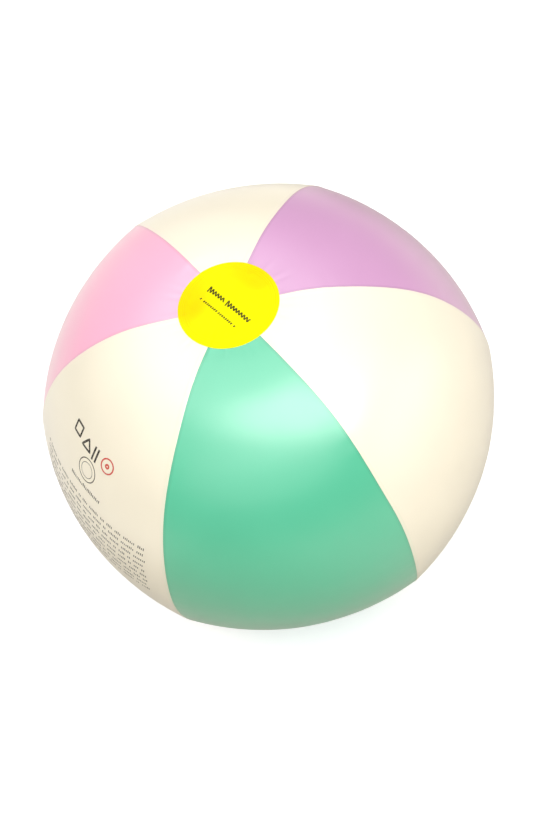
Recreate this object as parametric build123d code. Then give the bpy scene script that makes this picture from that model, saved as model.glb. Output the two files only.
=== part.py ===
from build123d import *
import math
import os

# Inflatable beach ball: six film gores, lap-welded along their edges, with a round
# disc welded over the gores' tips at each pole, and a push-in valve in one gore.
# Frame: origin at the centre of the ball, +Z through the two discs, and -Y through the
# middle of the green gore. The ball stands on its lower disc. Millimetres.

# --- the inflated ball ---
SEAM_DIAMETER = 400.0       # across two opposite seams, which stand proud as ridges
HALF_HEIGHT = 172.0         # centre to the flat crown, under the disc
CROWN_RADIUS = 45.0         # the flat crown at each pole, along the middle of a gore
SHOULDER_RADIUS = 140.0     # of the arc from the crown to the belly
GORE_AXIS_OFFSET = 29.3     # a gore is turned about its own axis, this far behind the ball's
GORE_COUNT = 6
FILM = 0.25                 # film thickness
WELD_GAP = 0.02             # between two welded films
LAP = 3.0                   # width of the lap weld, half of it on each side of the ridge
DISC_RADIUS = 38.0
POLE_HOLE_RADIUS = 31.0     # the gores end here, under the disc

# --- the valve, in the middle of the back gore; heights are above the film's outside ---
VALVE_DIP = 30.0            # degrees that the valve's axis points below the horizontal
FILM_HOLE_RADIUS = 12.0
FLANGE_RADIUS = 19.0
FLANGE_BORE = 11.5
FLANGE_THICKNESS = 0.7
SKIRT_WALL = 0.5
SKIRT_DEPTH = 11.9
STEM_RADIUS = 5.5
STEM_BORE = 4.2
STEM_TOP = 0.6
STEM_BOTTOM = -12.5
COLLAR_RADIUS = 7.0
COLLAR_THICKNESS = 1.4
INSERT_BORE = 2.8
INSERT_DEPTH = 3.0
INSERT_LIP = 0.6
INSERT_LIP_RADIUS = 5.3
FLAP_RADIUS = 4.2
FLAP_THICKNESS = 0.6
FLAP_GAP = 0.05
FLAP_HINGE_OFFSET = 4.9     # hinge line of the flap, from the stem's axis
HEAD_RADIUS = 6.3
HEAD_THICKNESS = 1.65
HEAD_GAP = 0.05
PLUG_TOP_RADIUS = 4.1
PLUG_TIP_RADIUS = 2.9
PLUG_LENGTH = 4.8
STRAP_WIDTH = 3.2
STRAP_THICKNESS = 0.75
STRAP_HINGE_OFFSET = 10.2   # hinge line of the strap, from the stem's axis
STRAP_HINGE_HEIGHT = 0.75
ROOT_THICKNESS = 0.8
HINGE_CLEARANCE = 0.15
FIT_GAP = 0.02              # between pieces of the valve that are bonded or pressed together

GORE_ANGLE = 360.0 / GORE_COUNT
HALF_GORE = math.radians(GORE_ANGLE / 2)
GORES = {
    "gore_lilac": 30.0,
    "gore_white_back": 90.0,
    "gore_pink": 150.0,
    "gore_white_left": 210.0,
    "gore_green": 270.0,
    "gore_white_right": 330.0,
}

# The coloured gores are the inner layer of the laps, and the white gores the outer one.
INNER_LAYER = (-FILM, 0.0)
OUTER_LAYER = (WELD_GAP, WELD_GAP + FILM)
DISC_LAYER = (FILM + 2 * WELD_GAP, 2 * FILM + 2 * WELD_GAP)

# Radius of a gore's middle line at the equator, from the ridge radius.
RIDGE_RADIUS = SEAM_DIAMETER / 2 - OUTER_LAYER[1]
GORE_RADIUS = (
    math.hypot(
        RIDGE_RADIUS + GORE_AXIS_OFFSET * math.cos(HALF_GORE),
        GORE_AXIS_OFFSET * math.sin(HALF_GORE),
    )
    - GORE_AXIS_OFFSET
)
# Radius of the belly arc, tangent to the shoulder arc and upright at the equator.
ARC_SPAN = GORE_RADIUS - CROWN_RADIUS
BELLY_RADIUS = (ARC_SPAN**2 + HALF_HEIGHT**2 - 2 * HALF_HEIGHT * SHOULDER_RADIUS) / (
    2 * (ARC_SPAN - SHOULDER_RADIUS)
)
BELLY_CENTRE = GORE_RADIUS - BELLY_RADIUS
SHOULDER_CENTRE = HALF_HEIGHT - SHOULDER_RADIUS
# Where the two arcs meet, as an angle above the horizontal.
JUNCTION = math.atan2(SHOULDER_CENTRE, CROWN_RADIUS - BELLY_CENTRE)


def profile(offset, start):
    """Edges of a gore's middle line, from the upper crown to the lower one."""

    def belly(angle):
        radius = BELLY_RADIUS + offset
        return (BELLY_CENTRE + radius * math.cos(angle), 0, radius * math.sin(angle))

    def shoulder(angle, side):
        radius = SHOULDER_RADIUS + offset
        height = SHOULDER_CENTRE + radius * math.sin(angle)
        return (CROWN_RADIUS + radius * math.cos(angle), 0, side * height)

    top = math.pi / 2
    middle = (JUNCTION + top) / 2
    crown = HALF_HEIGHT + offset
    return [
        Line((start, 0, crown), shoulder(top, 1)),
        ThreePointArc(shoulder(top, 1), shoulder(middle, 1), belly(JUNCTION)),
        ThreePointArc(belly(JUNCTION), belly(0), belly(-JUNCTION)),
        ThreePointArc(belly(-JUNCTION), shoulder(middle, -1), shoulder(top, -1)),
        Line(shoulder(top, -1), (start, 0, -crown)),
    ]


def film_shell(layer):
    """A film of revolution about the gore's own axis, centred on +X and wider than a gore."""
    start = POLE_HOLE_RADIUS - 10
    half_turn = 32.0
    crown = HALF_HEIGHT
    inner, outer = layer
    ends = [
        Line((start, 0, side * (crown + inner)), (start, 0, side * (crown + outer)))
        for side in (1, -1)
    ]
    section = Face(Wire(profile(inner, start) + profile(outer, start) + ends))
    axis = Axis((-GORE_AXIS_OFFSET, 0, 0), (0, 0, 1))
    return revolve(section.rotate(axis, -half_turn), axis, 2 * half_turn)


def prism(points):
    """An upright prism, taller than the ball, on a ground plan."""
    plan = make_face(Polyline(*points, close=True))
    return Pos(0, 0, -SEAM_DIAMETER / 2) * extrude(plan, amount=SEAM_DIAMETER)


def gore(layer):
    """One gore, centred on +X, with a strip of the lap on each side."""
    reach = SEAM_DIAMETER
    along = (math.cos(HALF_GORE), math.sin(HALF_GORE))
    across = (-along[1], along[0])
    wedge = prism(
        [
            (0, 0),
            (reach * along[0], -reach * along[1]),
            (reach * along[0], reach * along[1]),
        ]
    )
    near = POLE_HOLE_RADIUS / 2
    strip = prism(
        [
            (near * along[0], near * along[1]),
            (reach * along[0], reach * along[1]),
            (
                reach * along[0] + LAP / 2 * across[0],
                reach * along[1] + LAP / 2 * across[1],
            ),
            (
                near * along[0] + LAP / 2 * across[0],
                near * along[1] + LAP / 2 * across[1],
            ),
        ]
    )
    shell = film_shell(layer)
    lap = (shell.rotate(Axis.Z, GORE_ANGLE) & strip).solids()[0]
    body = (shell & wedge).solids()[0] + lap + mirror(lap, about=Plane.XZ)
    return body - Cylinder(POLE_HOLE_RADIUS, SEAM_DIAMETER)


def disc(side):
    """A round disc over the gores' tips: side is 1 at the top and -1 at the bottom."""
    middle = HALF_HEIGHT + (DISC_LAYER[0] + DISC_LAYER[1]) / 2
    return Pos(0, 0, side * middle) * Cylinder(DISC_RADIUS, FILM)


def valve_plane():
    """The valve's own frame: Z out of the ball, Y down along the film."""
    dip = math.radians(VALVE_DIP)
    radius = BELLY_RADIUS + OUTER_LAYER[1]
    origin = (0, BELLY_CENTRE + radius * math.cos(dip), -radius * math.sin(dip))
    return Plane(origin=origin, x_dir=(1, 0, 0), z_dir=(0, math.cos(dip), -math.sin(dip)))


VALVE = valve_plane()


def turned(points):
    """A solid of revolution about the valve's axis, from a section of (radius, height)."""
    section = make_face(Polyline(*[(r, 0, h) for r, h in points], close=True))
    return revolve(section, Axis.Z, 360)


def valve_flange():
    layer = film_shell((-FLANGE_THICKNESS, 0.0)).rotate(Axis.Z, GORES["gore_white_back"])
    ring = Cylinder(FLANGE_RADIUS, 30) - Cylinder(FLANGE_BORE, 30)
    return (layer & (VALVE * ring)).solids()[0]


def valve_skirt():
    outer = FLANGE_BORE - FIT_GAP
    inner = STEM_RADIUS + FIT_GAP
    lip = -0.3
    shoulder = -1.2
    return VALVE * turned(
        [
            (outer, lip),
            (outer, shoulder),
            (inner + SKIRT_WALL, -SKIRT_DEPTH),
            (inner, -SKIRT_DEPTH),
            (inner, -SKIRT_DEPTH + SKIRT_WALL),
            (outer - SKIRT_WALL, shoulder + SKIRT_WALL),
            (outer - SKIRT_WALL, lip),
        ]
    )


def valve_stem():
    below = STEM_TOP - COLLAR_THICKNESS
    tube = turned(
        [
            (STEM_BORE, STEM_BOTTOM),
            (STEM_RADIUS, STEM_BOTTOM),
            (STEM_RADIUS, below),
            (COLLAR_RADIUS, below),
            (COLLAR_RADIUS, STEM_TOP),
            (STEM_BORE, STEM_TOP),
        ]
    )
    rim = tube.edges().filter_by(GeomType.CIRCLE).filter_by(
        lambda e: abs(e.radius - COLLAR_RADIUS) < 1e-6
    )
    return VALVE * fillet(rim, 0.4)


def valve_insert():
    barrel = STEM_BORE - FIT_GAP
    return VALVE * turned(
        [
            (INSERT_BORE, STEM_BOTTOM + INSERT_DEPTH),
            (barrel, STEM_BOTTOM + INSERT_DEPTH),
            (barrel, STEM_BOTTOM - FIT_GAP),
            (INSERT_LIP_RADIUS, STEM_BOTTOM - FIT_GAP),
            (INSERT_LIP_RADIUS, STEM_BOTTOM - FIT_GAP - INSERT_LIP),
            (INSERT_BORE, STEM_BOTTOM - FIT_GAP - INSERT_LIP),
        ]
    )


def cross_rod(offset, height, radius, width):
    """A rod along X, at an offset along Y: what a hinge line looks like."""
    return Pos(0, offset, height) * Rot(0, 90, 0) * Cylinder(radius, width)


FLAP_HEIGHT = STEM_BOTTOM - FIT_GAP - INSERT_LIP - FLAP_GAP - FLAP_THICKNESS / 2


def valve_flap():
    width = 0.7 * FLAP_RADIUS
    tab = Box(width, FLAP_HINGE_OFFSET, FLAP_THICKNESS, align=(Align.CENTER, Align.MIN, Align.CENTER))
    roll = cross_rod(FLAP_HINGE_OFFSET, 0, FLAP_THICKNESS / 2, width)
    flap = Cylinder(FLAP_RADIUS, FLAP_THICKNESS) + tab + roll
    return VALVE * Pos(0, 0, FLAP_HEIGHT) * flap


def valve_plug():
    seat = STEM_TOP + HEAD_GAP
    top = seat + HEAD_THICKNESS
    dish = 0.5
    body = turned(
        [
            (0, seat - PLUG_LENGTH),
            (PLUG_TIP_RADIUS, seat - PLUG_LENGTH),
            (PLUG_TOP_RADIUS, seat),
            (HEAD_RADIUS, seat),
            (HEAD_RADIUS, top),
            (HEAD_RADIUS - 1.6, top),
            (HEAD_RADIUS - 2.2, top - dish),
            (0, top - dish),
        ]
    )
    rims = body.edges().filter_by(GeomType.CIRCLE).filter_by(
        lambda e: abs(e.radius - HEAD_RADIUS) < 1e-6
    )
    return VALVE * fillet(rims, 0.4)


def plug_strap():
    length = STRAP_HINGE_OFFSET - HEAD_RADIUS + 1
    leg = Pos(0, STRAP_HINGE_OFFSET - length / 2, STRAP_HINGE_HEIGHT + STRAP_THICKNESS / 2) * Box(
        STRAP_WIDTH, length, STRAP_THICKNESS
    )
    roll = cross_rod(STRAP_HINGE_OFFSET, STRAP_HINGE_HEIGHT, STRAP_THICKNESS, STRAP_WIDTH)
    return VALVE * (leg + roll - Cylinder(HEAD_RADIUS + FIT_GAP, 10))


def strap_root():
    length = STRAP_HINGE_OFFSET - COLLAR_RADIUS + 1
    tab = Pos(0, STRAP_HINGE_OFFSET - length / 2, STEM_TOP - ROOT_THICKNESS / 2) * Box(
        STRAP_WIDTH, length, ROOT_THICKNESS
    )
    socket = cross_rod(
        STRAP_HINGE_OFFSET,
        STRAP_HINGE_HEIGHT,
        STRAP_THICKNESS + HINGE_CLEARANCE,
        2 * STRAP_WIDTH,
    )
    return VALVE * (tab - Cylinder(COLLAR_RADIUS + FIT_GAP, 10) - socket)


def build():
    """Every sub-part, by node name."""
    coloured = gore(INNER_LAYER)
    white = gore(OUTER_LAYER)
    parts = {}
    for name, longitude in GORES.items():
        template = white if "white" in name else coloured
        parts[name] = template.rotate(Axis.Z, longitude)
    parts["gore_white_back"] -= VALVE * Cylinder(FILM_HOLE_RADIUS, 30)
    parts["disc_top"] = disc(1)
    parts["disc_bottom"] = disc(-1)
    parts["valve_flange"] = valve_flange()
    parts["valve_skirt"] = valve_skirt()
    parts["valve_stem"] = valve_stem()
    parts["valve_insert"] = valve_insert()
    parts["valve_flap"] = valve_flap()
    parts["valve_plug"] = valve_plug()
    parts["plug_strap"] = plug_strap()
    parts["strap_root"] = strap_root()
    return parts


os.makedirs("parts", exist_ok=True)
for name, shape in build().items():
    export_step(shape, f"parts/{name}.step")

print("gore radius", round(GORE_RADIUS, 2), "belly radius", round(BELLY_RADIUS, 2))
print("valve origin", [round(v, 3) for v in VALVE.origin], "axis", [round(v, 5) for v in VALVE.z_dir])
for offset, height, label in (
    (STRAP_HINGE_OFFSET, STRAP_HINGE_HEIGHT, "strap hinge"),
    (FLAP_HINGE_OFFSET, FLAP_HEIGHT, "flap hinge"),
):
    print(label, [round(v, 3) for v in VALVE.from_local_coords((0, offset, height))])
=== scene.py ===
import math

import bmesh
import bpy
import numpy as np
from mathutils import Matrix, Vector


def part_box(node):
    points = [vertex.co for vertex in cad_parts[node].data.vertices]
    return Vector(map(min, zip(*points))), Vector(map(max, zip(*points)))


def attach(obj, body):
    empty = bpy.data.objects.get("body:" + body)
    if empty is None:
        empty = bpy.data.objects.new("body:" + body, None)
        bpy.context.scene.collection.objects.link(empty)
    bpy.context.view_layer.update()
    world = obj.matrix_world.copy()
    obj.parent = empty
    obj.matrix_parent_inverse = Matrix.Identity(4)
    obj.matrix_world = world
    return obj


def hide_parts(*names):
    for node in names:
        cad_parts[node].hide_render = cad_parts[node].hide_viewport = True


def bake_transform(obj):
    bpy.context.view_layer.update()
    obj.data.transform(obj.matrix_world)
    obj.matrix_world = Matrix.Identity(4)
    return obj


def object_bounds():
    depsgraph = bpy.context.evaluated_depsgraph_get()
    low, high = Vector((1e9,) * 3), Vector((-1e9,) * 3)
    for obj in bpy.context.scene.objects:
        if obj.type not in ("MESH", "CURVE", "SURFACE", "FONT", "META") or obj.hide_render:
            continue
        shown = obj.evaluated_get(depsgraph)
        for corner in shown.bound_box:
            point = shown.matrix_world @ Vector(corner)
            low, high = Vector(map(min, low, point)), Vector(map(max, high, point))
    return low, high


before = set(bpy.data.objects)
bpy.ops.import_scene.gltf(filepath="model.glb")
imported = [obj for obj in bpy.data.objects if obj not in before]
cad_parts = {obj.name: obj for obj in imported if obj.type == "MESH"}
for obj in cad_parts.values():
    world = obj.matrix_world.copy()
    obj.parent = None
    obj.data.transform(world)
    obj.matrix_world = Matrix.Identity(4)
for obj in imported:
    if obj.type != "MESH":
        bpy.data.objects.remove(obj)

# An inflated beach ball: detailed film gores, pole discs, prints and the soft parts of its
# valve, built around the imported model. Metres, in the model's frame: origin at the ball's
# centre, +Z through the discs, -Y through the middle of the green gore.

MM = 0.001
CAD_LOW, CAD_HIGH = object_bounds()

# --- the inflated shape, as in the CAD model ---
FILM = 0.25 * MM
WELD_GAP = 0.02 * MM
SEAM_DIAMETER = 400.0 * MM
GORE_AXIS_OFFSET = 29.3 * MM   # a gore is turned about its own axis, this far behind the ball's
CROWN_RADIUS = 45.0 * MM
SHOULDER_RADIUS = 140.0 * MM
POLE_HOLE_RADIUS = 31.0 * MM
DISC_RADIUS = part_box("disc_top")[1].x
HALF_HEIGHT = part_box("gore_green")[1].z
GORE_COUNT = 6
SEAM_SPACING = 360 / GORE_COUNT   # degrees
HALF_GORE = math.radians(SEAM_SPACING / 2)
RIDGE_RADIUS = SEAM_DIAMETER / 2 - FILM - WELD_GAP
GORE_RADIUS = (
    math.hypot(
        RIDGE_RADIUS + GORE_AXIS_OFFSET * math.cos(HALF_GORE),
        GORE_AXIS_OFFSET * math.sin(HALF_GORE),
    )
    - GORE_AXIS_OFFSET
)
ARC_SPAN = GORE_RADIUS - CROWN_RADIUS
BELLY_RADIUS = (ARC_SPAN**2 + HALF_HEIGHT**2 - 2 * HALF_HEIGHT * SHOULDER_RADIUS) / (
    2 * (ARC_SPAN - SHOULDER_RADIUS)
)
BELLY_CENTRE = GORE_RADIUS - BELLY_RADIUS
SHOULDER_RISE = HALF_HEIGHT - SHOULDER_RADIUS
JUNCTION = math.atan2(SHOULDER_RISE, CROWN_RADIUS - BELLY_CENTRE)

# Lengths along a gore's middle line. Its tip stops short of the CAD model's, under the disc.
TIP_SETBACK = 1.5 * MM
BELLY_LENGTH = BELLY_RADIUS * JUNCTION
SHOULDER_LENGTH = SHOULDER_RADIUS * (math.pi / 2 - JUNCTION)
CROWN_LENGTH = CROWN_RADIUS - POLE_HOLE_RADIUS - TIP_SETBACK
MERIDIAN = BELLY_LENGTH + SHOULDER_LENGTH + CROWN_LENGTH

# A seam's plane, as a gore's own axis sees it.
SEAM_FACING = math.radians(90 - SEAM_SPACING / 2)   # from the gore's middle to square to the plane
AXIS_TO_SEAM = GORE_AXIS_OFFSET / 2                 # by the sine of half a gore's 60 degrees

# --- the valve, as in the CAD model ---
VALVE_DIP = math.radians(30)
FILM_HOLE_RADIUS = 12.0 * MM
FLANGE_RADIUS = 19.0 * MM
VALVE_LENGTH = -BELLY_RADIUS * VALVE_DIP   # along the meridian from the equator
VALVE_AXIS = Vector((0, math.cos(VALVE_DIP), -math.sin(VALVE_DIP)))
VALVE_DOWN = Vector((0, -math.sin(VALVE_DIP), -math.cos(VALVE_DIP)))
VALVE_ORIGIN = Vector((0, BELLY_CENTRE, 0)) + (BELLY_RADIUS + FILM + WELD_GAP) * VALVE_AXIS

# --- the gores: longitude of the middle, colour, and slot ---
CREAM = (0.87, 0.795, 0.625)
PINK = (0.92, 0.405, 0.565)
GREEN = (0.066, 0.505, 0.285)
LILAC = (0.60, 0.30, 0.52)
YELLOW = (0.79, 0.75, 0.0)
GORES = {
    "gore_lilac": (30, LILAC, "film_lilac"),
    "gore_white_back": (90, CREAM, "film_white"),
    "gore_pink": (150, PINK, "film_pink"),
    "gore_white_left": (210, CREAM, "film_white"),
    "gore_green": (270, GREEN, "film_green"),
    "gore_white_right": (330, CREAM, "film_white"),
}


# ---------------- the ball's surface
def meridian(length):
    """Radius, height and outward normal of a gore's middle line, at a length from the equator."""
    side = np.sign(length)
    along = np.abs(length)
    belly = along <= BELLY_LENGTH
    angle = np.where(
        belly, along / BELLY_RADIUS, JUNCTION + (along - BELLY_LENGTH) / SHOULDER_RADIUS
    )
    angle = np.minimum(angle, math.pi / 2)
    crown = np.maximum(along - BELLY_LENGTH - SHOULDER_LENGTH, 0)
    radius = np.where(
        belly,
        BELLY_CENTRE + BELLY_RADIUS * np.cos(angle),
        CROWN_RADIUS + SHOULDER_RADIUS * np.cos(angle) - crown,
    )
    height = np.where(
        belly, BELLY_RADIUS * np.sin(angle), SHOULDER_RISE + SHOULDER_RADIUS * np.sin(angle)
    )
    return radius, side * height, np.cos(angle), side * np.sin(angle)


def own_distance(beta, turn_radius):
    """Distance of a gore's point from the plane of its nearer seam. beta is the point's turn about the
    gore's own axis, from the gore's middle line."""
    return turn_radius * np.cos(np.abs(beta) + SEAM_FACING) - AXIS_TO_SEAM


def turn_at(distance, turn_radius):
    """The turn about the gore's own axis at a distance from the seam's plane."""
    return np.arccos((distance + AXIS_TO_SEAM) / turn_radius) - SEAM_FACING


def smooth(x, start, end):
    """0 up to start, 1 from end on, and smooth between them. start may be the larger of the two."""
    t = np.clip((x - start) / (end - start), 0, 1)
    return t * t * (3 - 2 * t)


def hump(x, centre, reach, power=2):
    """1 at the centre, and falling to 0 on both sides over about the reach."""
    return np.exp(-(np.abs((x - centre) / reach) ** power))


def spin(vectors, angle):
    """Vectors turned about the ball's axis, all by one angle or each by its own."""
    cosine, sine = np.cos(angle), np.sin(angle)
    x, y = vectors[..., 0], vectors[..., 1]
    return np.stack([x * cosine - y * sine, x * sine + y * cosine, vectors[..., 2]], -1)


def ripple(seed, count, shortest, longest):
    """A repeatable uneven wave of one variable, between about -1 and 1."""
    rng = np.random.default_rng(seed)
    wavelength = rng.uniform(shortest, longest, count)
    phase = rng.uniform(0, 2 * math.pi, count)
    return lambda x: sum(
        np.sin(2 * math.pi * x / w + p) for w, p in zip(wavelength, phase)
    ) / math.sqrt(count)


SEAMS = range(GORE_COUNT)   # seam n is at a longitude of n * SEAM_SPACING
SEAM_WAVES = {seam: ripple(100 + seam, 4, 9 * MM, 19 * MM) for seam in SEAMS}
SEAM_STRENGTH = {seam: ripple(200 + seam, 3, 60 * MM, 160 * MM) for seam in SEAMS}
SEAM_WANDER = {seam: ripple(300 + seam, 3, 70 * MM, 180 * MM) for seam in SEAMS}

# How far each seam strays from its even place, in the direction of growing longitude, at these
# lengths from the equator.
DRIFT_LENGTHS = (-110 * MM, 0, 100 * MM, 185 * MM, 262 * MM)
SEAM_DRIFT = {
    0: (0, -1.2 * MM, -2.9 * MM, -4.4 * MM, -2.4 * MM),
    1: (0, -1.0 * MM, -1.6 * MM, -0.2 * MM, 1.1 * MM),
    2: (0, 0, -0.5 * MM, 0, -0.8 * MM),
    3: (0, 1.5 * MM, 2.2 * MM, 0.8 * MM, 2.8 * MM),
    4: (0, -1.1 * MM, 0.8 * MM, 1.2 * MM, -1.0 * MM),
    5: (0, -2.8 * MM, -0.5 * MM, 1.9 * MM, 0.3 * MM),
}


def twist(longitude, length):
    """Turn about the ball's axis that takes a point with evenly spaced seams to its place on the film,
    whose seams stray. It is whole on a seam, and fades across the gores on both sides of it."""
    radius = meridian(length)[0]
    total = np.zeros(np.broadcast(longitude, length).shape)
    for seam, values in SEAM_DRIFT.items():
        away = np.abs((np.degrees(longitude) - SEAM_SPACING * seam + 180) % 360 - 180)
        drift = np.zeros_like(total)
        for k in range(len(values) - 1):
            rise = smooth(length, DRIFT_LENGTHS[k], DRIFT_LENGTHS[k + 1])
            drift = drift + (values[k + 1] - values[k]) * rise
        total = total + drift / radius * smooth(away, SEAM_SPACING, 0)
    return total


def undulation(points):
    """Slow unevenness of the stretched film, the same wherever two films lie together."""
    rng = np.random.default_rng(11)
    waves = 14
    total = np.zeros(points.shape[:-1])
    for _ in range(waves):
        direction = rng.normal(size=3)
        direction /= np.linalg.norm(direction)
        wavelength = rng.uniform(70, 150) * MM
        phase = rng.uniform(0, 2 * math.pi)
        total += np.sin(2 * math.pi * (points @ direction) / wavelength + phase)
    return total / math.sqrt(waves)


def seam_puckers(seam, distance, length):
    """Small gathers across a seam, where the two films were welded at slightly different lengths."""
    height = 0.05 * MM * (0.6 + 0.4 * SEAM_STRENGTH[seam](length))
    height = height * (1 + 1.2 * smooth(np.abs(length), 150 * MM, 240 * MM))
    return height * SEAM_WAVES[seam](length) * hump(distance, 0, 9 * MM, 1.5)


def crown_gathers(radius, longitude):
    """Radial gathers round a pole disc."""
    wave = np.sin(31 * longitude + 1.3 * np.sin(5 * longitude)) + 0.6 * np.sin(47 * longitude + 2)
    return 0.07 * MM * wave * hump(np.maximum(radius - DISC_RADIUS, 0), 0, 14 * MM, 1.4)


def weld_height(distance, lapped, white):
    """Height of a film's outer face above the base surface, near a seam. lapped is true on the film's
    lap over or under the neighbour."""
    if white:
        level = FILM + WELD_GAP
        weld_edge = 0.12 * MM * smooth(distance, 2.7 * MM, 3.6 * MM)
        groove = 0.05 * MM * hump(distance, 1.3 * MM, 0.4 * MM)
        cut_edge = 0.10 * MM * smooth(distance, 0.1 * MM, 0.4 * MM)
        return np.where(lapped, level - cut_edge, level - weld_edge - groove)
    groove = 0.05 * MM * hump(distance, 0.75 * MM, 0.3 * MM)
    return np.where(lapped, 0.0, -groove)


def valve_relief(across, down):
    """Height of the back gore's film over the valve's flange: a raised ring with weld lines."""
    distance = np.hypot(across, down)
    beyond = distance - FLANGE_RADIUS
    plateau = 0.38 * MM * (1 - smooth(beyond, -0.3 * MM, 1.4 * MM))
    band = smooth(distance, 13.4 * MM, 13.9 * MM) * (1 - smooth(distance, 17.0 * MM, 17.5 * MM))
    lines = band * (0.15 * MM + 0.06 * MM * np.cos(2 * math.pi * distance / (1.2 * MM)))
    angle = np.arctan2(down, across)
    wave = np.sin(13 * angle + 1.1 * np.sin(3 * angle)) + 0.5 * np.sin(22 * angle + 1)
    fade = smooth(beyond, -1 * MM, 2 * MM) * hump(np.maximum(beyond, 0), 0, 10 * MM, 1.5)
    cut_edge = 0.10 * MM * smooth(distance, FILM_HOLE_RADIUS + 0.8 * MM, FILM_HOLE_RADIUS)
    return plateau - lines + 0.14 * MM * wave * fade - cut_edge


def reflect_laps(vectors, side, lap):
    """Reflects the vectors of a gore's laps across the seam on their side of the gore, in place."""
    for sign in (1, -1):
        across = np.array([-math.sin(HALF_GORE), sign * math.cos(HALF_GORE), 0.0])
        beyond = (lap > 0) & (side == sign)
        swapped = vectors - 2 * (vectors @ across)[..., None] * across
        vectors[beyond] = swapped[beyond]


def gore_surface(middle, beta, length, lap, white, valve=False, lift=0.0):
    """Outer points and normals of a gore's film. beta is the turn about the gore's own axis, and lap is
    1 where the point is reflected across the seam, to lie over or under the neighbour."""
    radius, height, normal_r, normal_z = meridian(length)
    turn_radius = radius + GORE_AXIS_OFFSET
    side = np.where(beta >= 0, 1, -1)
    distance = own_distance(beta, turn_radius)
    low_seam = round(middle / SEAM_SPACING - 0.5)
    high_seam = (low_seam + 1) % GORE_COUNT
    points = np.stack(
        [turn_radius * np.cos(beta) - GORE_AXIS_OFFSET, turn_radius * np.sin(beta), height], -1
    )
    normals = np.stack([normal_r * np.cos(beta), normal_r * np.sin(beta), normal_z], -1)
    reflect_laps(points, side, lap)
    reflect_laps(normals, side, lap)

    turn = math.radians(middle)
    longitude = np.arctan2(points[..., 1], points[..., 0]) + turn
    pole_distance = np.hypot(points[..., 0], points[..., 1])
    points = spin(points, turn)
    normals = spin(normals, turn)

    calm = 1 - smooth(np.abs(length), MERIDIAN - 60 * MM, MERIDIAN - 20 * MM)
    relief = np.where(
        side > 0,
        seam_puckers(high_seam, distance, length),
        seam_puckers(low_seam, distance, length),
    )
    relief = relief + weld_height(distance, lap > 0, white)
    on_shoulder = np.abs(length) > BELLY_LENGTH
    relief = relief + np.where(on_shoulder, crown_gathers(pole_distance, longitude), 0)
    if valve:
        relief = relief + valve_relief(beta * turn_radius, length - VALVE_LENGTH)
    relief = relief + 0.12 * MM * calm * undulation(points)

    wander = np.where(side > 0, SEAM_WANDER[high_seam](length), SEAM_WANDER[low_seam](length))
    seam_turn = turn + side * HALF_GORE
    sideways = np.stack([-np.sin(seam_turn), np.cos(seam_turn), np.zeros_like(seam_turn)], -1)
    shift = 0.35 * MM * wander * hump(distance, 0, 22 * MM) * calm
    points = points + shift[..., None] * sideways + (relief + lift)[..., None] * normals
    stray = twist(longitude, length)
    return spin(points, stray), spin(normals, stray)


# ---------------- meshes
SHARP_ANGLE = 35   # degrees


def shade_smooth(mesh, sharp_angle=SHARP_ANGLE):
    """Smooth shading, except across edges sharper than an angle."""
    mesh.polygons.foreach_set("use_smooth", [True] * len(mesh.polygons))
    mesh.set_sharp_from_angle(angle=math.radians(sharp_angle))


def link(name, vertices, faces, sharp_angle=SHARP_ANGLE):
    """A smooth-shaded mesh object from lists of points and faces."""
    mesh = bpy.data.meshes.new(name)
    mesh.from_pydata([tuple(v) for v in vertices], [], [tuple(f) for f in faces])
    mesh.validate()
    shade_smooth(mesh, sharp_angle)
    piece = bpy.data.objects.new(name, mesh)
    bpy.context.scene.collection.objects.link(piece)
    return piece


def closed_sheet(name, outer, inner, keep=None, wrap=False, near=None):
    """A closed film from two grids of points: its outer face, its inner face and its cut edges. keep
    says which cells of the grid are film, and wrap joins the last column to the first. near is kept on
    the mesh for the material: how close each point is to a seam."""
    rows, columns = outer.shape[:2]
    index = np.arange(rows * columns).reshape(rows, columns)
    faces = []
    for i in range(rows - 1):
        for j in range(columns if wrap else columns - 1):
            if keep is None or keep[i, j]:
                k = (j + 1) % columns
                faces.append((index[i, j], index[i, k], index[i + 1, k], index[i + 1, j]))
    edges = dict.fromkeys((a, b) for face in faces for a, b in zip(face, face[1:] + face[:1]))
    below = rows * columns
    rim = [(a, b) for (a, b) in edges if (b, a) not in edges]
    walls = [(b, a, a + below, b + below) for a, b in rim]
    backs = [tuple(v + below for v in reversed(face)) for face in faces]
    vertices = np.concatenate([outer.reshape(-1, 3), inner.reshape(-1, 3)])
    every = faces + backs + walls
    used = sorted({v for face in every for v in face})
    renumber = {v: n for n, v in enumerate(used)}
    piece = link(name, vertices[used], [[renumber[v] for v in face] for face in every])
    if near is not None:
        closeness = piece.data.attributes.new("seam_near", "FLOAT", "POINT")
        closeness.data.foreach_set("value", np.concatenate([near.ravel(), near.ravel()])[used])
    return piece


# --- the grid of a gore: distances from a seam, finer towards it ---
NEAR_SEAM = np.array([0, 0.2, 0.4, 0.7, 1.0, 1.3, 1.7, 2.2, 2.7, 3.3, 4, 5, 6.5, 8.5, 11]) * MM
WHITE_LAP = np.array([0.4, 0.3, 0.15]) * MM               # over the coloured film, past the seam
COLOURED_LAP = np.array([2.6, 2.2, 1.6, 1.0, 0.5]) * MM   # under the white film
NEAR_REACH = 10 * MM      # from a seam, where a film's seam_near falls to 0
MIDDLE_COLUMNS = 45
GORE_ROWS = 241

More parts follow.
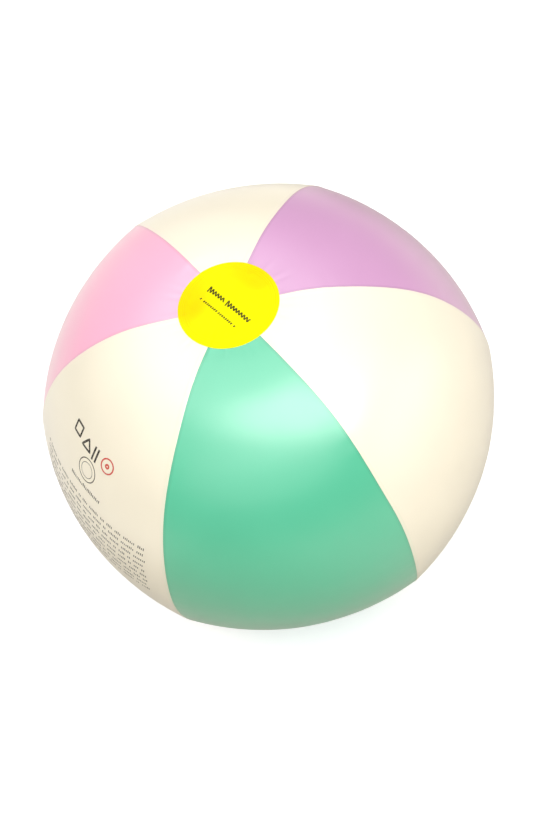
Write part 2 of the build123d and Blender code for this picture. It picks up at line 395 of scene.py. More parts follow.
# --- the finer square patch of the grid round the valve ---
VALVE_PATCH = 30 * MM     # half its side
ROUND_REACH = 22 * MM     # its rows and columns are bent into circles up to here
BESIDE_COLUMNS = 9        # from the patch to the near columns of each seam
ROWS_BELOW, ROWS_ABOVE = 64, 150
VALVE_TURN_RADIUS = float(meridian(np.array(VALVE_LENGTH))[0]) + GORE_AXIS_OFFSET
RING_END = FLANGE_RADIUS + 2 * MM
PATCH_HALF = np.concatenate(
    [
        np.linspace(0, FILM_HOLE_RADIUS, 9),
        np.linspace(FILM_HOLE_RADIUS, RING_END, 24)[1:],
        np.linspace(RING_END, VALVE_PATCH, 8)[1:],
    ]
)
PATCH_LINE = np.concatenate([-PATCH_HALF[:0:-1], PATCH_HALF])


def middle_turns(last, length, valve):
    """Turns about the gore's axis across the middle of one row. Round the valve they are even steps."""
    if not valve:
        return np.linspace(-last, last, MIDDLE_COLUMNS)
    patch = PATCH_LINE / VALVE_TURN_RADIUS

    def with_sides(end):
        beside = np.linspace(patch[-1], end, BESIDE_COLUMNS)[1:]
        return np.concatenate([-beside[::-1], patch, beside])

    at_valve = turn_at(NEAR_SEAM[-1], VALVE_TURN_RADIUS)
    exact = with_sides(last)
    general = with_sides(at_valve) * last / at_valve
    share = 1 - smooth(abs(length - VALVE_LENGTH), VALVE_PATCH, 2 * VALVE_PATCH)
    return share * exact + (1 - share) * general


def gore_row(length, laps, valve):
    """Turns about the gore's axis, from one lap to the other, for one row, with the lap flags."""
    turn_radius = float(meridian(np.array(length))[0]) + GORE_AXIS_OFFSET
    near = turn_at(NEAR_SEAM, turn_radius)
    lap = turn_at(laps, turn_radius)
    middle = middle_turns(near[-1], length, valve)
    beta = np.concatenate([-lap, -near[:-1], middle, near[::-1][1:], lap[::-1]])
    flags = np.zeros(len(beta))
    flags[: len(lap)] = 1
    flags[-len(lap):] = 1
    return beta, flags


def round_hole(beta, length):
    """Bends the grid round the valve into circles, and leaves out the cells inside the hole."""
    across = beta * VALVE_TURN_RADIUS
    down = length - VALVE_LENGTH
    reach = np.maximum(np.abs(across), np.abs(down))
    share = 1 - smooth(reach, ROUND_REACH, VALVE_PATCH)
    stretch = np.where(reach > 0, reach / np.maximum(np.hypot(across, down), 1e-9), 1)
    factor = 1 + share * (stretch - 1)
    new_length = VALVE_LENGTH + down * factor
    here = meridian(new_length)[0] + GORE_AXIS_OFFSET
    new_beta = across * factor * (share / here + (1 - share) / VALVE_TURN_RADIUS)
    far = reach >= VALVE_PATCH
    inside = reach <= FILM_HOLE_RADIUS + 0.05 * MM
    corners = inside[:-1, :-1] & inside[1:, :-1] & inside[:-1, 1:] & inside[1:, 1:]
    return np.where(far, beta, new_beta), np.where(far, length, new_length), ~corners


def make_gore(name, middle, white, valve):
    """The film of one gore, closed, with its laps, its gathers and, on the back one, the valve's hole."""
    if valve:
        patch = VALVE_LENGTH + PATCH_LINE
        low = np.linspace(-MERIDIAN, patch[0], ROWS_BELOW)[:-1]
        high = np.linspace(patch[-1], MERIDIAN, ROWS_ABOVE)[1:]
        lengths = np.concatenate([low, patch, high])
    else:
        lengths = np.linspace(-MERIDIAN, MERIDIAN, GORE_ROWS)
    laps = WHITE_LAP if white else COLOURED_LAP
    rows = [gore_row(length, laps, valve) for length in lengths]
    beta = np.array([row[0] for row in rows])
    lap = np.array([row[1] for row in rows])
    length = np.repeat(lengths[:, None], beta.shape[1], axis=1)
    keep = None
    if valve:
        beta, length, keep = round_hole(beta, length)
    outer, normals = gore_surface(middle, beta, length, lap, white, valve)
    away = own_distance(beta, meridian(length)[0] + GORE_AXIS_OFFSET)
    near = np.sign(beta) * np.clip(1 - away / NEAR_REACH, 0, 1)
    short_name = name.removeprefix("gore_")
    return closed_sheet("film_" + short_name, outer, outer - FILM * normals, keep, near=near)


# --- the discs. The top one was welded a little off the pole, and the film pulls it oval along X. ---
DISC_CENTRE = {1: (-0.8 * MM, -0.75 * MM), -1: (0.0, 0.0)}
DISC_STRETCH = {1: 1.025, -1: 1.0}
DISC_SWELL = {1: 0.9 * MM, -1: -0.5 * MM}   # in the middle; the ball stands on the lower one
TOP_DENTS = (   # turn in degrees, distance from the disc's centre, and depth
    (165, 26 * MM, 0.75 * MM),
    (38, 27 * MM, 0.75 * MM),
    (285, 27 * MM, 0.35 * MM),
    (95, 24 * MM, 0.3 * MM),
)
HALF_LAP = 1.5 * MM   # a disc lies on two films up to about here from a seam


def disc_grid(side):
    """Radii and longitudes of a pole disc's rings, finer towards its welded rim. On the lower disc they
    run backwards, so that its faces look outwards."""
    hole, edge = POLE_HOLE_RADIUS / MM, DISC_RADIUS / MM
    middle = np.linspace(0.4, hole - 1, 26)
    rim = np.arange(hole - 0.5, edge - 0.3, 0.35)
    radii = np.concatenate([middle, rim, [edge - 0.2, edge]]) * MM
    return radii, np.radians(np.arange(0, 360, 1.25)) * side


def seat_height(radius, about_pole, side):
    """Height of a disc's outer face where it lies on the gores: a step up from a coloured gore to the
    laps and the white gores. about_pole is the longitude about the ball's own pole."""
    stray = twist(about_pole, np.full_like(about_pole, MERIDIAN)) if side > 0 else 0
    degrees = np.degrees(about_pole - stray) % 360
    from_seam = np.abs((degrees + SEAM_SPACING / 2) % SEAM_SPACING - SEAM_SPACING / 2)
    off_seam = np.radians(from_seam) * radius
    on_white = np.floor(degrees / SEAM_SPACING) % 2 == 1
    step = 0.5 + 0.5 * smooth(off_seam, 0, 1.8 * MM)
    on_lap = smooth(HALF_LAP - off_seam, -0.8 * MM, 0.2 * MM)
    return FILM + WELD_GAP + FILM * np.maximum(np.where(on_white, step, 1 - step), on_lap)


def disc_height(radius, longitude, about_pole, side):
    """Height of a disc's outer face above the gores' base surface: seated and welded on the gores,
    free and swollen over the pole's hole."""
    band = smooth(radius, 32.0 * MM, 32.6 * MM) * (1 - smooth(radius, 36.4 * MM, 37 * MM))
    rings = np.cos(2 * math.pi * (radius - 32.6 * MM) / (1.5 * MM))
    welded = seat_height(radius, about_pole, side) - band * (0.08 * MM + 0.05 * MM * rings)
    free = FILM + WELD_GAP + 0.6 * FILM
    on_gores = smooth(radius, POLE_HOLE_RADIUS - 4 * MM, POLE_HOLE_RADIUS + 0.5 * MM)
    height = free + on_gores * (welded - free)
    cut_edge = smooth(radius, DISC_RADIUS - 0.45 * MM, DISC_RADIUS)
    height = height - 0.10 * MM * cut_edge**2
    wave = np.sin(23 * longitude + 2 * np.sin(3 * longitude))
    gathered = smooth(radius, 22 * MM, 31 * MM) * (1 - smooth(radius, 31 * MM, 35 * MM))
    height = height + 0.05 * MM * wave * gathered
    height = height + DISC_SWELL[side] * np.maximum(1 - (radius / POLE_HOLE_RADIUS) ** 2, 0)
    if side > 0:
        for turn, reach, depth in TOP_DENTS:
            x = radius * np.cos(longitude) - reach * math.cos(math.radians(turn))
            y = radius * np.sin(longitude) - reach * math.sin(math.radians(turn))
            height = height - depth * hump(np.hypot(x, y), 0, 9 * MM) * (1 - on_gores)
    return height


def disc_point(radius, longitude, side, lift=0.0):
    """A point on a disc's outer face, from its place on the disc."""
    x = DISC_STRETCH[side] * radius * np.cos(longitude) + DISC_CENTRE[side][0]
    y = radius * np.sin(longitude) + DISC_CENTRE[side][1]
    height = HALF_HEIGHT + lift + disc_height(radius, longitude, np.arctan2(y, x), side)
    return np.stack([x, y, side * height], -1)


def close_centre(piece, rows, columns):
    """Fills the small hole in the middle of a disc, on both faces."""
    shape = bmesh.new()
    shape.from_mesh(piece.data)
    shape.verts.ensure_lookup_table()
    walls = [f for f in shape.faces if all(v.index % (rows * columns) < columns for v in f.verts)]
    walls = [f for f in walls if len({v.index // (rows * columns) for v in f.verts}) == 2]
    bmesh.ops.delete(shape, geom=walls, context="FACES_ONLY")
    open_edges = [e for e in shape.edges if len(e.link_faces) == 1]
    bmesh.ops.holes_fill(shape, edges=open_edges, sides=0)
    bmesh.ops.recalc_face_normals(shape, faces=shape.faces)
    shape.to_mesh(piece.data)
    shape.free()
    shade_smooth(piece.data)


def make_disc(name, side):
    """One pole disc, welded over the tips of the gores, with its weld rings and slight dents."""
    radii, longitudes = disc_grid(side)
    radius, longitude = np.meshgrid(radii, longitudes, indexing="ij")
    outer = disc_point(radius, longitude, side)
    inner = outer - np.array([0, 0, side * FILM])
    piece = closed_sheet("film_" + name, outer, inner, wrap=True)
    close_centre(piece, *radius.shape)
    return piece


# ---------------- materials
def new_material(name, roughness):
    """A material and its shader."""
    material = bpy.data.materials.new(name)
    material.use_nodes = True
    shader = material.node_tree.nodes["Principled BSDF"]
    shader.inputs["Roughness"].default_value = roughness
    shader.inputs["IOR"].default_value = 1.52
    return material, shader


def object_place(tree):
    """The place on the object, in the object's own frame."""
    return tree.nodes.new("ShaderNodeTexCoord").outputs["Object"]


def math_node(tree, operation, *values):
    """A maths node whose inputs are numbers or sockets."""
    node = tree.nodes.new("ShaderNodeMath")
    node.operation = operation
    for socket, value in zip(node.inputs, values):
        if isinstance(value, (int, float)):
            socket.default_value = value
        else:
            tree.links.new(value, socket)
    return node.outputs[0]


def vector_node(tree, operation, place, fixed=(0, 0, 0)):
    """The outputs of a vector maths node on a place and a fixed vector."""
    node = tree.nodes.new("ShaderNodeVectorMath")
    node.operation = operation
    node.inputs[1].default_value = fixed
    tree.links.new(place, node.inputs[0])
    return node.outputs


def map_range(tree, value, low, high, to_low, to_high):
    """A smooth change from to_low to to_high while value goes from low to high."""
    node = tree.nodes.new("ShaderNodeMapRange")
    node.interpolation_type = "SMOOTHSTEP"
    for socket, number in zip(("From Min", "From Max", "To Min", "To Max"), (low, high, to_low, to_high)):
        node.inputs[socket].default_value = number
    tree.links.new(value, node.inputs["Value"])
    return node.outputs["Result"]


def mix_colour(tree, factor, first, second):
    """Two colours, each a tuple or a socket, mixed by a factor."""
    node = tree.nodes.new("ShaderNodeMix")
    node.data_type = "RGBA"
    tree.links.new(factor, node.inputs[0])
    for socket, value in ((node.inputs[6], first), (node.inputs[7], second)):
        if isinstance(value, tuple):
            socket.default_value = (*value, 1)
        else:
            tree.links.new(value, socket)
    return node.outputs[2]


def noise(tree, place, scale, detail=2.0):
    """A random change over the surface, finer the larger the scale."""
    node = tree.nodes.new("ShaderNodeTexNoise")
    node.inputs["Scale"].default_value = scale
    node.inputs["Detail"].default_value = detail
    tree.links.new(place, node.inputs["Vector"])
    return node.outputs["Fac"]


def patches(tree, place, scale, low=0, high=1):
    """A slow random change between two values over the surface."""
    return map_range(tree, noise(tree, place, scale, 1.0), 0.2, 0.8, low, high)


def bump(tree, shader, layers):
    """Chained bumps, each from a height socket and a distance in metres."""
    normal = None
    for height, distance in layers:
        node = tree.nodes.new("ShaderNodeBump")
        node.inputs["Distance"].default_value = distance
        tree.links.new(height, node.inputs["Height"])
        if normal is not None:
            tree.links.new(normal, node.inputs["Normal"])
        normal = node.outputs["Normal"]
    tree.links.new(normal, shader.inputs["Normal"])


def darker(colour, share):
    return tuple(share * c for c in colour)


def blend_colour(first, second, share):
    return tuple(a * (1 - share) + b * share for a, b in zip(first, second))


def near_seam(tree, nearest, furthest, sign):
    """1 up to a distance from a seam and 0 past another, from the mesh's own measure of closeness. The
    sign picks the gore's seam at the higher longitude, 1, or at the lower one, -1."""
    closeness = tree.nodes.new("ShaderNodeAttribute")
    closeness.attribute_name = "seam_near"
    value = math_node(tree, "MULTIPLY", closeness.outputs["Fac"], sign)
    return map_range(tree, value, 1 - furthest / NEAR_REACH, 1 - nearest / NEAR_REACH, 0, 1)


def film_material(name, colour, seams):
    """Glossy soft film. seams lists (sign, neighbour's colour) for what shows through at the laps."""
    material, shader = new_material(name, 0.3)
    shader.inputs["Coat Weight"].default_value = 1.0
    shader.inputs["Coat Roughness"].default_value = 0.29
    shader.inputs["Coat IOR"].default_value = 1.6
    shader.inputs["Specular IOR Level"].default_value = 0.85
    shader.inputs["Sheen Weight"].default_value = 0.12
    shader.inputs["Sheen Roughness"].default_value = 0.3
    tree = material.node_tree
    place = object_place(tree)
    shade = mix_colour(tree, patches(tree, place, 20.0), darker(colour, 0.97), colour)
    for sign, neighbour in seams:
        if colour == CREAM:
            on_lap = near_seam(tree, 2.2 * MM, 2.8 * MM, sign)
            shade = mix_colour(tree, on_lap, shade, blend_colour(colour, neighbour, 0.07))
        else:
            on_weld = near_seam(tree, 2.0 * MM, 2.8 * MM, sign)
            shade = mix_colour(tree, on_weld, shade, darker(colour, 0.90))
            # A darker line on the coloured film just past the white film's lapped edge: the weld's squeezed
            # line, and painted shadow of that edge.
            weld_line_and_edge_shadow = near_seam(tree, 0.6 * MM, 1.1 * MM, sign)
            shade = mix_colour(tree, weld_line_and_edge_shadow, shade, darker(colour, 0.75))
    tree.links.new(shade, shader.inputs["Base Color"])
    tree.links.new(patches(tree, place, 40.0, 0.29, 0.36), shader.inputs["Roughness"])
    skin = noise(tree, place, 160.0)
    grain = noise(tree, place, 1500.0)
    bump(tree, shader, [(skin, 0.02 * MM), (grain, 0.003 * MM)])
    return material


AMBER = (0.76, 0.57, 0.0)        # deeper yellow: painted shade round the top disc's dents, and its weld lines
DENT_SHADE_RADIUS = 33 * MM      # from the pole
DENT_SHADE_SPOTS = ((172, 1.0), (150, 0.6), (35, 0.8), (62, 0.6))   # painted shade round the dents: longitude and strength
AMBER_RINGS = ((32.8 * MM, 0.35), (35.2 * MM, 0.5), (36.9 * MM, 0.35))  # weld lines: radius and strength


def disc_material(name):
    """The yellow film, a little deeper in colour in painted shade round the top disc's dents, and along its
    weld lines.
    """
    material, shader = new_material(name, 0.3)
    shader.inputs["Specular Tint"].default_value = (1.0, 0.85, 0.03, 1)
    shader.inputs["Specular IOR Level"].default_value = 0.7
    tree = material.node_tree
    place = object_place(tree)
    shade = mix_colour(tree, patches(tree, place, 40.0), (0.77, 0.72, 0.0), YELLOW)
    # Painted shade: deeper yellow patches round the top disc's dents.
    for longitude, share in DENT_SHADE_SPOTS:
        turn = math.radians(longitude)
        spot = (DENT_SHADE_RADIUS * math.cos(turn), DENT_SHADE_RADIUS * math.sin(turn), HALF_HEIGHT)
        away = vector_node(tree, "DISTANCE", place, spot)["Value"]
        shade = mix_colour(tree, map_range(tree, away, 4 * MM, 22 * MM, share, 0), shade, AMBER)
    flat = vector_node(tree, "MULTIPLY", place, (1, 1, 0))["Vector"]
    from_axis = vector_node(tree, "LENGTH", flat)["Value"]
    for ring, share in AMBER_RINGS:
        off = math_node(tree, "ABSOLUTE", math_node(tree, "SUBTRACT", from_axis, ring))
        shade = mix_colour(tree, map_range(tree, off, 0.2 * MM, 0.7 * MM, share, 0), shade, AMBER)
    tree.links.new(shade, shader.inputs["Base Color"])
    tree.links.new(patches(tree, place, 60.0, 0.29, 0.36), shader.inputs["Roughness"])
    bump(tree, shader, [(noise(tree, place, 200.0), 0.03 * MM), (noise(tree, place, 1500.0), 0.006 * MM)])
    return material


def vinyl_material(name, colour, roughness):
    """Milky moulded vinyl of the valve, which scatters light inside, with a fine mould grain."""
    material, shader = new_material(name, roughness)
    shader.inputs["Subsurface Weight"].default_value = 0.35
    shader.inputs["Subsurface Radius"].default_value = (1.0, 0.9, 0.7)
    shader.inputs["Subsurface Scale"].default_value = 1.5 * MM
    tree = material.node_tree
    place = object_place(tree)
    shade = mix_colour(tree, patches(tree, place, 120.0), darker(colour, 0.95), colour)
    tree.links.new(shade, shader.inputs["Base Color"])
    rough = patches(tree, place, 300.0, roughness - 0.03, roughness + 0.05)
    tree.links.new(rough, shader.inputs["Roughness"])
    bump(tree, shader, [(noise(tree, place, 2500.0), 0.01 * MM)])
    return material


def ink_material(name, colour, under=CREAM):
    """Screen ink, thinner in places, where the film under it shows through."""
    material, shader = new_material(name, 0.45)
    shader.inputs["Specular IOR Level"].default_value = 0.2
    tree = material.node_tree
    place = object_place(tree)
    worn = map_range(tree, noise(tree, place, 900.0, 3.0), 0.35, 0.75, 0, 0.35)
    paler = blend_colour(colour, under, 0.5)
    tree.links.new(mix_colour(tree, worn, colour, paler), shader.inputs["Base Color"])
    bump(tree, shader, [(noise(tree, place, 1800.0), 0.01 * MM)])
    return material


# ---------------- the film pieces
def place_piece(piece, material, body, slot, *nodes):
    """Material, body and the CAD nodes that the piece stands for. slot is not used."""
    piece.data.materials.clear()
    piece.data.materials.append(material)
    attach(piece, body)
    if nodes:
        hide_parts(*nodes)


def neighbour_colours(middle):
    """The two seams of a gore, as the signs of near_seam, and the colours beyond them."""
    beyond = {longitude: colour for longitude, colour, _ in GORES.values()}
    return [(sign, beyond[(middle + SEAM_SPACING * sign) % 360]) for sign in (-1, 1)]


def make_gores():
    """The six gores, each with a film of its own colour."""
    for name, (middle, colour, slot) in GORES.items():
        piece = make_gore(name, middle, colour == CREAM, name == "gore_white_back")
        vinyl_name = "vinyl_" + name.removeprefix("gore_")
        material = film_material(vinyl_name, colour, neighbour_colours(middle))
        place_piece(piece, material, "ball", slot, name)


def make_discs():
    """The two yellow discs over the gores' tips."""
    material = disc_material("vinyl_yellow")
    for name, side in (("disc_top", 1), ("disc_bottom", -1)):
        place_piece(make_disc(name, side), material, "ball", "film_yellow", name)


make_gores()
make_discs()


# ---------------- printed marks
INK_LIFT = 0.06 * MM
INK_STEP = 1.2 * MM


def fill_in(path):
    """A path of (across, up) points with more put between them, so that it can follow the ball."""
    filled = []
    for start, end in zip(path, path[1:]):
        count = max(1, math.ceil(math.dist(start, end) / INK_STEP))
        filled += [tuple(np.array(start) + (np.array(end) - start) * k / count) for k in range(count)]
    return filled + [path[-1]]


def path_normals(path, closed=False):
    """Unit vectors square to a flat path, to its left, at each of its points."""
    ahead = np.roll(path, -1, axis=0)
    behind = np.roll(path, 1, axis=0)
    if not closed:
        ahead[-1] = path[-1]
        behind[0] = path[0]
    tangent = ahead - behind
    tangent /= np.linalg.norm(tangent, axis=1)[:, None]
    return np.stack([-tangent[:, 1], tangent[:, 0]], 1)


class Print:
    """Flat strokes of one ink. place takes the two coordinates of a point in the flat drawing to its
    place on the film, lifted by the ink's thickness."""

    def __init__(self, place):
        self.place = place
        self.vertices = []
        self.faces = []

    def strip(self, path, width):
        """A stroke of even width along a path, which is closed if it ends where it starts."""
        path = np.array(fill_in(path))
        closed = bool(np.allclose(path[0], path[-1]))
        if closed:
            path = path[:-1]
        start = len(self.vertices)
        for point, normal in zip(path, path_normals(path, closed) * width / 2):
            self.vertices.append(self.place(*(point + normal)))
            self.vertices.append(self.place(*(point - normal)))
        count = len(path)
        for i in range(count if closed else count - 1):
            a = start + 2 * i
            b = start + 2 * ((i + 1) % count)
            self.faces.append((a, a + 1, b + 1, b))

    def ring(self, centre, radius, width):
        """A circle's outline, from the radius of its middle line."""
        across, up = centre
        turns = np.linspace(0, 2 * math.pi, 49)
        path = [(across + radius * math.cos(t), up + radius * math.sin(t)) for t in turns]
        self.strip(path, width)

    def ticks(self, rng, start, end, up, height, width, word):
        """A row of small upright ticks in groups, in the place of a line of text. word is the range of
        the groups' sizes. The gaps are as wide as a tick, and three times as wide between groups."""
        at = start
        while at < end:
            for _ in range(rng.integers(*word)):
                tall = height * rng.uniform(0.6, 1.0)
                if at < end:
                    self.strip([(at, up - height / 2), (at, up - height / 2 + tall)], width)
                at += 2 * width
            at += 3 * width

    def finish(self, name, material, slot):
        place_piece(link(name, self.vertices, self.faces), material, "ball", slot)


# The notice, in millimetres across and up. Its outlines are a square, a triangle and two bars.
NOTICE_OUTLINES = (
    ((-26, 139), (-17, 139), (-17, 148), (-26, 148), (-26, 139)),
    ((-12, 137), (-1, 137), (-6.5, 146), (-12, 137)),
    ((3, 134), (3, 147)),
    ((7, 134), (7, 147)),
)
OUTLINE_STROKE = 1.9
STAMP, SIGN = np.array([(2, 121), (20, 141)]) * MM
HEADING_UP = 104
NOTICE_ROWS = 9
FIRST_ROW_UP = 88.5
ROW_SPACING = 7.2
ROW_WIDENING = 0.9   # each row ends this much further right than the one above


def on_notice(across, up):
    """A point on the left white gore, from lengths on its film, from its middle line and the equator."""
    length = np.array([up])
    radius = meridian(length)[0]
    longitude = across / radius
    beta = longitude - np.arcsin(GORE_AXIS_OFFSET * np.sin(longitude) / (radius + GORE_AXIS_OFFSET))
    middle = GORES["gore_white_left"][0]
    points, _ = gore_surface(middle, beta, length, np.zeros(1), True, lift=INK_LIFT)
    return points[0]


def make_notice():
    """The printed panel on the left white gore, in plain ticks, rings and outlines with no lettering."""
    rng = np.random.default_rng(5)

    dark = Print(on_notice)
    dark.ticks(rng, -15 * MM, 24 * MM, HEADING_UP * MM, 3.8 * MM, 0.95 * MM, (24, 25))
    for corners in NOTICE_OUTLINES:
        dark.strip([(x * MM, y * MM) for x, y in corners], OUTLINE_STROKE * MM)
    dark.finish("print_dark", ink_material("ink_dark", (0.02, 0.015, 0.011)), "film_white")

    fine = Print(on_notice)
    for row in range(NOTICE_ROWS):
        up = (FIRST_ROW_UP - ROW_SPACING * row) * MM
        end = (rng.uniform(72, 78) + ROW_WIDENING * row) * MM
        fine.ticks(rng, -62 * MM, end, up, 3.3 * MM, 0.85 * MM, (2, 9))
    fine.ring(STAMP, 10.5 * MM, 0.9 * MM)
    fine.ring(STAMP, 7.0 * MM, 0.5 * MM)
    fine.finish("print_fine", ink_material("ink_fine", (0.045, 0.035, 0.025)), "film_white")

    red = Print(on_notice)
    red.ring(SIGN, 6.4 * MM, 1.3 * MM)
    red.ring(SIGN, 1.5 * MM, 1.6 * MM)
    red.finish("print_red", ink_material("ink_red", (0.55, 0.05, 0.035)), "film_white")


# The print on the top disc, in millimetres along its line from the disc's centre, and down from it.
DISC_PRINT_TURN = math.radians(-55)
DISC_WAVES = ((-21.5, -4), (-1.5, 23.5))
WAVE_LENGTH = 2.9
WAVE_HEIGHT, WAVE_FIRST_RISE = 1.25, 1.5   # the rise fades over WAVE_SETTLE
WAVE_SETTLE = 3
WAVE_LEAN = 0.35
WAVE_STROKE = 1.1
DISC_TICKS = ((-19.5, -19), (-15.5, -1.5), (1, 15), (18, 18.5))
TICK_SPACING = 1.95
TICK_DOWN = 10.0
TICK_HALF_HEIGHT = 0.8
TICK_LEAN = 0.3
TICK_STROKE = 1.15


def on_top_disc(along, down):
    """A point on the top disc, from lengths along its print's line and down from it."""
    cosine, sine = math.cos(DISC_PRINT_TURN), math.sin(DISC_PRINT_TURN)
    x = along * cosine + down * sine
    y = along * sine - down * cosine
    return disc_point(np.array([math.hypot(x, y)]), np.array([math.atan2(y, x)]), 1, INK_LIFT)[0]


def make_disc_print():
    """Two stretches of a wavy line and a row of ticks on the top disc."""
    mark = Print(on_top_disc)
    for start, end in DISC_WAVES:
        x = np.linspace(start, end, 300)
        height = WAVE_HEIGHT + WAVE_FIRST_RISE * np.exp(-(x - start) / WAVE_SETTLE)
        wave = height * np.cos(2 * math.pi * (x - start) / WAVE_LENGTH)
        mark.strip(np.stack([x + WAVE_LEAN * wave, wave], 1) * MM, WAVE_STROKE * MM)
    for start, end in DISC_TICKS:
        for at in np.arange(start, end, TICK_SPACING):
            tick = [(at - TICK_LEAN * k, TICK_DOWN + TICK_HALF_HEIGHT * k) for k in (-1, 0, 1)]
            mark.strip(np.array(tick) * MM, TICK_STROKE * MM)
    mark.finish("print_wave", ink_material("ink_brown", (0.02, 0.012, 0.0), YELLOW), "film_yellow")


make_notice()
make_disc_print()


# ---------------- the valve's soft parts
# Millimetres in the valve's own frame, with heights above the film's outside, as in the CAD model.
SKIRT_TOP, SKIRT_TOP_RADIUS = -0.3, 11.48
SKIRT_END, SKIRT_END_RADIUS = -11.7, 5.55
SKIRT_WALL = 0.5
SKIRT_FLARE = 0.9                      # below 1, it narrows fastest next to the film
SKIRT_FOLD, SKIRT_FOLDS = 0.18, 3      # depth and number
STRAP_BEND = (10.2, 0.75)              # offset and height of the hinge line
STRAP_BEND_RADIUS = 0.56
STRAP_START, STRAP_FINISH = 6.9, 6.1   # offsets where it leaves the collar and joins the head
STRAP_HALF_WIDTH, STRAP_HALF_DEPTH = 1.6, 0.37


def valve_point(x, y, height):
    """A point in the valve's frame, in millimetres: x along +X, y down the film, height out of the ball."""
    return VALVE_ORIGIN + (Vector((x, 0, 0)) + float(y) * VALVE_DOWN + float(height) * VALVE_AXIS) * MM


def make_skirt(material):
    """The thin cone between the flange and the stem, which turns inside out as the stem slides."""
    outline = [(SKIRT_TOP_RADIUS, 0.0)]
    for share in np.linspace(0, 1, 23):
        radius = SKIRT_TOP_RADIUS + (SKIRT_END_RADIUS - SKIRT_TOP_RADIUS) * share**SKIRT_FLARE
        fold = SKIRT_FOLD * math.sin(2 * math.pi * SKIRT_FOLDS * share) * math.sin(math.pi * share)
        outline.append((radius + fold, SKIRT_TOP + (SKIRT_END - SKIRT_TOP) * share))
    turns = [(math.cos(t), math.sin(t)) for t in np.linspace(0, 2 * math.pi, 73)[:-1]]

    def surface(inset):
        """The grid of points at an inset from the outline."""
        rings = [(r - inset, h) for r, h in outline]
        return np.array([[valve_point(r * c, r * s, h) for c, s in turns] for r, h in rings])

    piece = closed_sheet("valve_skirt_soft", surface(0), surface(SKIRT_WALL), wrap=True)
    piece.data.materials.append(material)
    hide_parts("valve_skirt")
    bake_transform(piece)


def rounded(value, power):
    """A sine or cosine with its ends squared off, for a section with soft corners."""
    return math.copysign(abs(value) ** power, value)


def make_strap(material):
    """The plug's strap, a soft band that leaves the collar, turns back on itself and joins the head."""
    offset, level = STRAP_BEND
    path = [(y, level - STRAP_BEND_RADIUS) for y in np.linspace(STRAP_START, offset, 8)]
    for angle in np.radians(np.linspace(-90, 90, 13)[1:-1]):
        turned = (STRAP_BEND_RADIUS * math.cos(angle), STRAP_BEND_RADIUS * math.sin(angle))
        path.append((offset + turned[0], level + turned[1]))
    path += [(y, level + STRAP_BEND_RADIUS) for y in np.linspace(offset, STRAP_FINISH, 8)]
    path = np.array(path)
    section = [
        (STRAP_HALF_WIDTH * rounded(math.cos(t), 0.4), STRAP_HALF_DEPTH * rounded(math.sin(t), 0.6))
        for t in np.linspace(0, 2 * math.pi, 25)[:-1]
    ]
    vertices = [
        valve_point(x, y + ny * depth, h + nh * depth)
        for (y, h), (ny, nh) in zip(path, path_normals(path))
        for x, depth in section
    ]
    count = len(section)
    last = (len(path) - 1) * count
    faces = []
    for row in range(0, last, count):
        for j in range(count):
            k = (j + 1) % count
            faces.append((row + j, row + k, row + count + k, row + count + j))
    faces.append(tuple(range(count))[::-1])
    faces.append(tuple(range(last, last + count)))
    piece = link("plug_strap_soft", vertices, faces, sharp_angle=60)
    piece.data.materials.append(material)
    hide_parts("plug_strap", "strap_root")
    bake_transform(piece)


def dress_valve():
    """Vinyl for the valve's CAD parts, and its soft parts."""
    clear = vinyl_material("valve_vinyl", (0.88, 0.88, 0.84), 0.33)
    milky = vinyl_material("valve_seat_vinyl", (0.80, 0.80, 0.76), 0.40)
    finishes = {
        "valve_stem": clear,
        "valve_plug": clear,
        "valve_flange": clear,
        "valve_insert": milky,
        "valve_flap": milky,
    }
    for name, material in finishes.items():
        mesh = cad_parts[name].data
        mesh.materials.clear()
        mesh.materials.append(material)
        shade_smooth(mesh, 30)
    make_skirt(clear)
    make_strap(clear)


dress_valve()


# ---------------- floor, light and camera
FLOOR_HALF_SIZE = 80.0
FLOOR_SEEN = (0.88, 0.88, 0.88)      # by the camera
FLOOR_GLOW = 0.22                    # added for the camera
FLOOR_LIT = (0.47, 0.44, 0.37)       # by light bounced back to the ball
FLOOR_MIRRORED = (0.40, 0.37, 0.32)  # by the film's gloss
CARD = (0.80, 0.77, 0.71)            # brighter stretches of floor that the gloss shows
CARDS = (((-0.86, 0.51, 0), 0.85), ((0.96, -0.26, 0), 0.50))   # direction from the ball, and strength
CARD_START, CARD_FULL = 0.10, 0.42   # metres from the ball's centre


def floor_material():
    """Pale paper, brighter to the camera than it lights the ball, with two bright cards in the gloss."""
    material, shader = new_material("floor_paper", 0.9)
    shader.inputs["Specular IOR Level"].default_value = 0.1
    tree = material.node_tree
    path = tree.nodes.new("ShaderNodeLightPath")
    seen = path.outputs["Is Camera Ray"]
    place = object_place(tree)
    mirrored = FLOOR_MIRRORED
    for direction, strength in CARDS:
        along = vector_node(tree, "DOT_PRODUCT", place, direction)["Value"]
        on_card = map_range(tree, along, CARD_START, CARD_FULL, 0, strength)
        mirrored = mix_colour(tree, on_card, mirrored, CARD)
    shade = mix_colour(tree, path.outputs["Is Glossy Ray"], FLOOR_LIT, mirrored)
    tree.links.new(mix_colour(tree, seen, shade, FLOOR_SEEN), shader.inputs["Base Color"])
    shader.inputs["Emission Color"].default_value = (1, 1, 1, 1)
    tree.links.new(map_range(tree, seen, 0, 1, 0, FLOOR_GLOW), shader.inputs["Emission Strength"])
    return material


def make_floor():
    """A wide pale floor under the ball."""
    square = ((-1, -1), (1, -1), (1, 1), (-1, 1))
    corners = [(x * FLOOR_HALF_SIZE, y * FLOOR_HALF_SIZE, CAD_LOW.z) for x, y in square]
    mesh = bpy.data.meshes.new("floor")
    mesh.from_pydata(corners, [], [(0, 1, 2, 3)])
    mesh.materials.append(floor_material())
    floor = bpy.data.objects.new("floor", mesh)
    bpy.context.scene.collection.objects.link(floor)


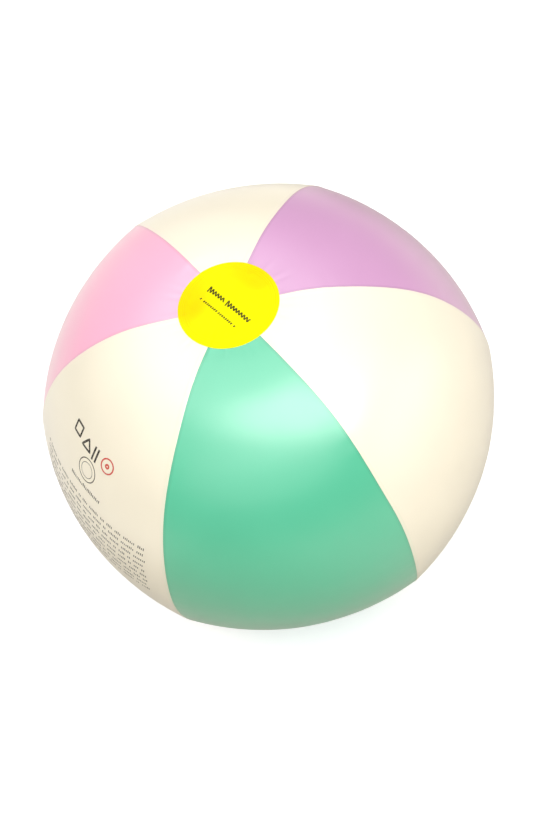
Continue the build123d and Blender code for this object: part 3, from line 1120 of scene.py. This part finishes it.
def toward(azimuth, elevation):
    """Unit vector from the ball to a place round it. Azimuth 0 is on the -Y side, 90 on the +X side."""
    a, e = math.radians(azimuth), math.radians(elevation)
    return Vector((math.sin(a) * math.cos(e), -math.cos(a) * math.cos(e), math.sin(e)))


def soft_light(name, azimuth, elevation, distance, half_width, half_height, radiance, long_side=90):
    """A softbox aimed at the ball. Its half sizes are the angles that it fills, in degrees, and its long
    side points to the azimuth long_side."""
    data = bpy.data.lights.new(name, "AREA")
    data.shape = "ELLIPSE"
    data.size = 2 * distance * math.tan(math.radians(half_width))
    data.size_y = 2 * distance * math.tan(math.radians(half_height))
    data.energy = radiance * math.pi * (math.pi / 4 * data.size * data.size_y)
    light = bpy.data.objects.new(name, data)
    bpy.context.scene.collection.objects.link(light)
    away = toward(azimuth, elevation)
    up = away.cross(toward(long_side, 0)).normalized()
    across = up.cross(away)
    turned = Matrix((across, up, away)).transposed().to_4x4()
    light.matrix_world = Matrix.Translation(away * distance) @ turned
    light.visible_camera = False


def make_world(lighting, seen):
    """An even pale surround, which lights the ball less than it shows."""
    world = bpy.data.worlds.new("studio")
    world.use_nodes = True
    tree = world.node_tree
    background = tree.nodes["Background"]
    background.inputs["Color"].default_value = (1, 1, 1, 1)
    ray = tree.nodes.new("ShaderNodeLightPath").outputs["Is Camera Ray"]
    level = tree.nodes.new("ShaderNodeMapRange")
    level.inputs["To Min"].default_value = lighting
    level.inputs["To Max"].default_value = seen
    tree.links.new(ray, level.inputs["Value"])
    tree.links.new(level.outputs["Result"], background.inputs["Strength"])
    bpy.context.scene.world = world


CAMERA_AZIMUTH = 10.84
CAMERA_ELEVATION = 61.31
CAMERA_ROLL = 21.38          # degrees that the ball's pole leans left of upright in the picture
CAMERA_DISTANCE = 0.8758
CAMERA_LENS = 42.99          # millimetres, on the sensor below


def make_camera():
    """A camera aimed at the ball's centre."""
    data = bpy.data.cameras.new("camera")
    data.lens = CAMERA_LENS
    data.sensor_width = 36.0
    data.clip_start = 0.05
    camera = bpy.data.objects.new("camera", data)
    bpy.context.scene.collection.objects.link(camera)
    away = toward(CAMERA_AZIMUTH, CAMERA_ELEVATION)
    upright = (-away).to_track_quat("-Z", "Y").to_matrix()
    roll = Matrix.Rotation(math.radians(-CAMERA_ROLL), 3, "Z")
    camera.matrix_world = Matrix.Translation(away * CAMERA_DISTANCE) @ (upright @ roll).to_4x4()
    bpy.context.scene.camera = camera


make_floor()
make_world(lighting=0.36, seen=0.85)
# Name, azimuth, elevation, distance, half width, half height, radiance, azimuth of the long side.
soft_light("overhead", 0, 90, 25.0, 48, 48, 0.54)
soft_light("top_haze", 200, 76, 8.0, 28, 22, 1.05)
soft_light("key_softbox", 40, 67, 6.0, 30, 16, 4.0, 78)
soft_light("front_fill", -8, 40, 6.0, 30, 19, 0.65)
soft_light("side_fill", 75, 4, 6.0, 24, 24, 1.0)
soft_light("back_fill", -150, 14, 6.0, 26, 16, 0.36)
make_camera()
bpy.context.scene.view_settings.view_transform = "Standard"
